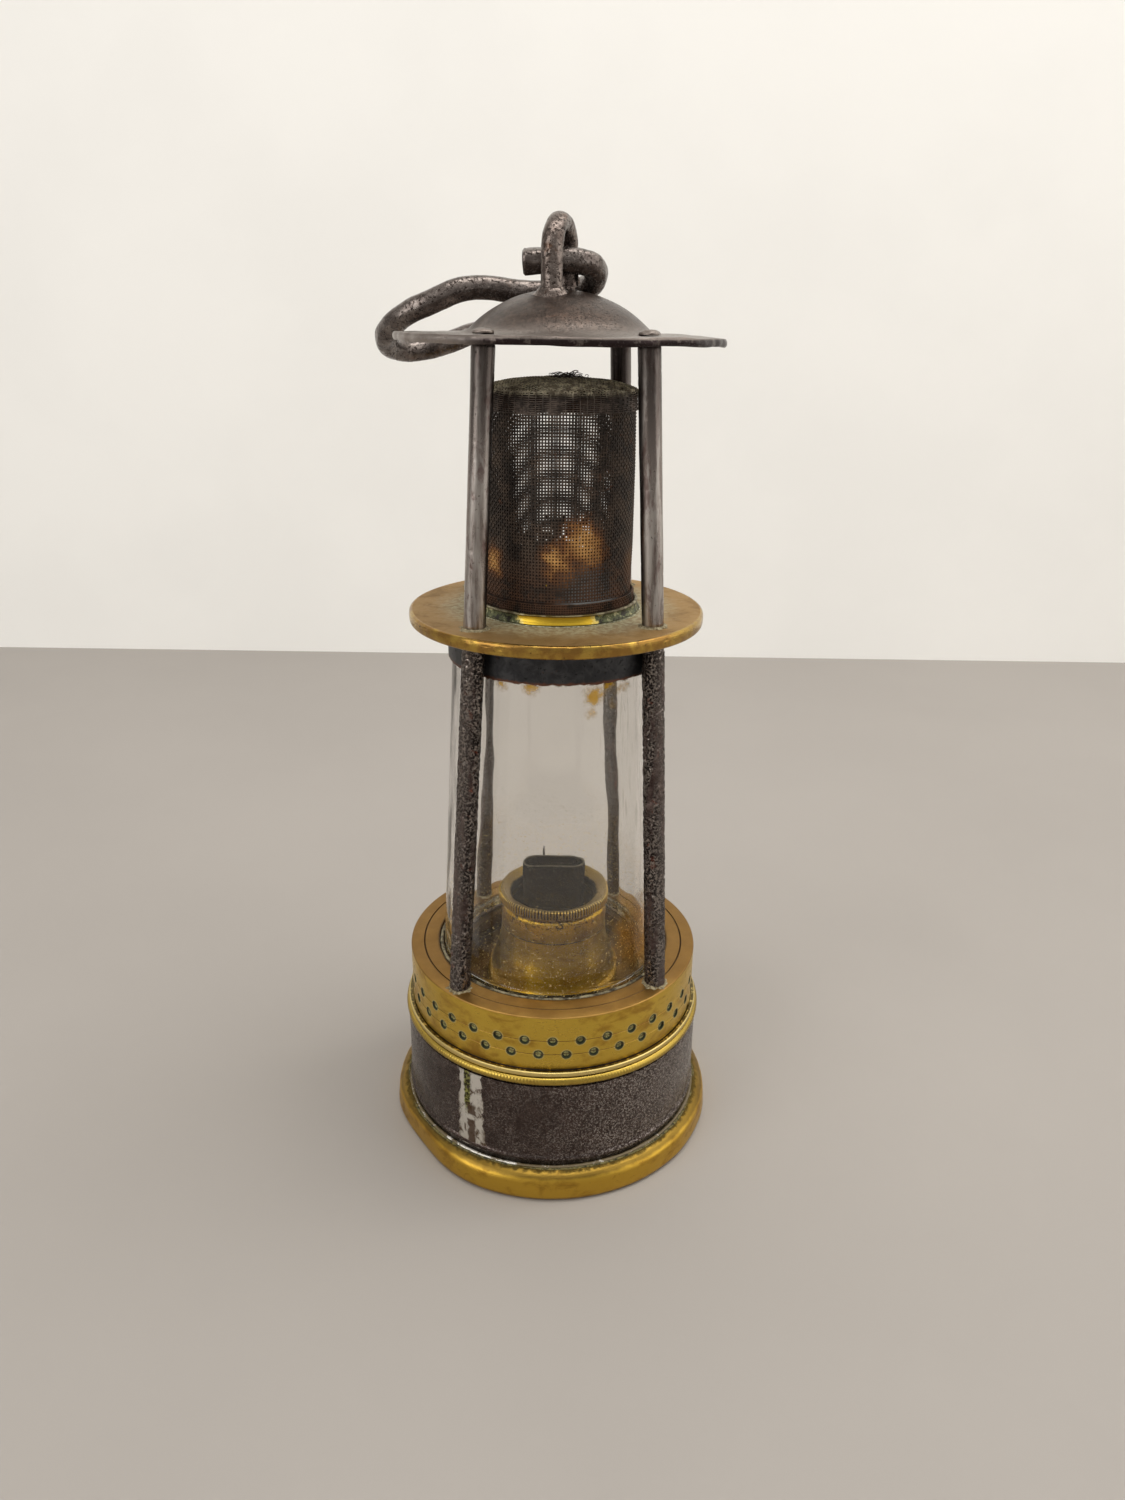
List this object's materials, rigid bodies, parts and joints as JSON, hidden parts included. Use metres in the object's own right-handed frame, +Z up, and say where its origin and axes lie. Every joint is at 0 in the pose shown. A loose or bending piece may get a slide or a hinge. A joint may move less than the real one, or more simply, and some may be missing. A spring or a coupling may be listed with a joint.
{
  "type": "miner's flame safety lamp",
  "caption": "Oil safety lamp: round brass-footed vessel with burner, glass, wire gauze chimney on four pillars, hood and swinging iron carrying hook.",
  "frame": {"origin": "centre of the underside of the brass foot, on the surface the lamp stands on", "axes": "+Z up along the lamp's axis, -Y towards the front, +X to the right; the hook lies over to -X at the back"},
  "size_m": [0.09, 0.09, 0.2348],
  "materials": {
    "foot_brass": "polished golden brass with brown tarnish",
    "ring_brass": "satin brass, worn and lightly tarnished",
    "plate_brass": "matte tan-brown tarnished brass with a bright worn edge",
    "dull_brass": "dull dusty brass",
    "soot_metal": "black with soot",
    "dark_iron": "dark purple-brown oxidised sheet iron",
    "black_iron": "blackened iron",
    "pitted_iron": "heavily pitted dark iron with reddish rust",
    "steel_grey": "worn steel-grey iron with brown patches",
    "hood_iron": "dark brown-grey iron, lightly pitted",
    "hook_iron": "dark brown forged iron",
    "gauze_wire": "rusted woven iron wire gauze",
    "leather": "oil-darkened leather",
    "wick_cotton": "sooty woven cotton",
    "clear_glass": "clear pressed glass, dusty and stained"
  },
  "bodies": {
    "vessel": {"base_flange": "foot_brass", "vessel_shell": "dark_iron", "vessel_collar": "ring_brass", "vessel_top": "dull_brass", "burner_bell": "dull_brass", "wick_plate": "dull_brass", "wick_tube": "soot_metal", "pricker_tube": "dull_brass"},
    "burner_ring": {"burner_ring": "dull_brass"},
    "wick": {"wick": "wick_cotton"},
    "pricker": {"pricker": "dark_iron"},
    "washer": {"leather_washer": "leather"},
    "frame": {"air_ring": "ring_brass", "air_gauze": "gauze_wire", "glass_ring": "dull_brass", "lower_washer": "leather", "upper_washer": "leather", "glass": "clear_glass", "glass_holder": "black_iron", "mid_plate": "plate_brass", "gauze_collar": "plate_brass", "gauze_base_ring": "black_iron", "gauze": "gauze_wire", "gauze_cap": "gauze_wire", "hood": "hood_iron", "eye": "hook_iron", "lower_pillar_back_right": "pitted_iron", "upper_pillar_back_right": "steel_grey", "lower_pillar_back_left": "pitted_iron", "upper_pillar_back_left": "steel_grey", "lower_pillar_front_left": "pitted_iron", "upper_pillar_front_left": "steel_grey", "lower_pillar_front_right": "pitted_iron", "upper_pillar_front_right": "steel_grey"},
    "hook": {"hook": "hook_iron"}
  },
  "joints": [
    {"name": "ring_lift", "type": "slide", "parent": "vessel", "child": "washer", "axis": [0, 0, 1], "range_m": [0, 0.0032]},
    {"name": "ring_unscrew", "type": "hinge", "parent": "washer", "child": "frame", "pos_m": [0, 0, 0.038], "axis": [0, 0, 1], "range_deg": [0, 720]},
    {"name": "hook_swing", "type": "hinge", "parent": "frame", "child": "hook", "pos_m": [0, 0, 0.22605], "axis": [0.9659, -0.2588, 0], "range_deg": [0, 225]},
    {"name": "burner_ring_turn", "type": "hinge", "parent": "vessel", "child": "burner_ring", "pos_m": [0, 0, 0.068], "axis": [0, 0, 1], "range_deg": [0, 360]},
    {"name": "wick_slide", "type": "slide", "parent": "vessel", "child": "wick", "axis": [0, 0, 1], "range_m": [-0.004, 0.001]},
    {"name": "pricker_turn", "type": "hinge", "parent": "vessel", "child": "pricker", "pos_m": [-0.003, 0.0068, 0], "axis": [0, 0, 1], "range_deg": [-120, 35]}
  ],
  "couplings": [
    {"joint": "ring_lift", "follows": "ring_unscrew", "m_per_rad": 0.00025465}
  ]
}
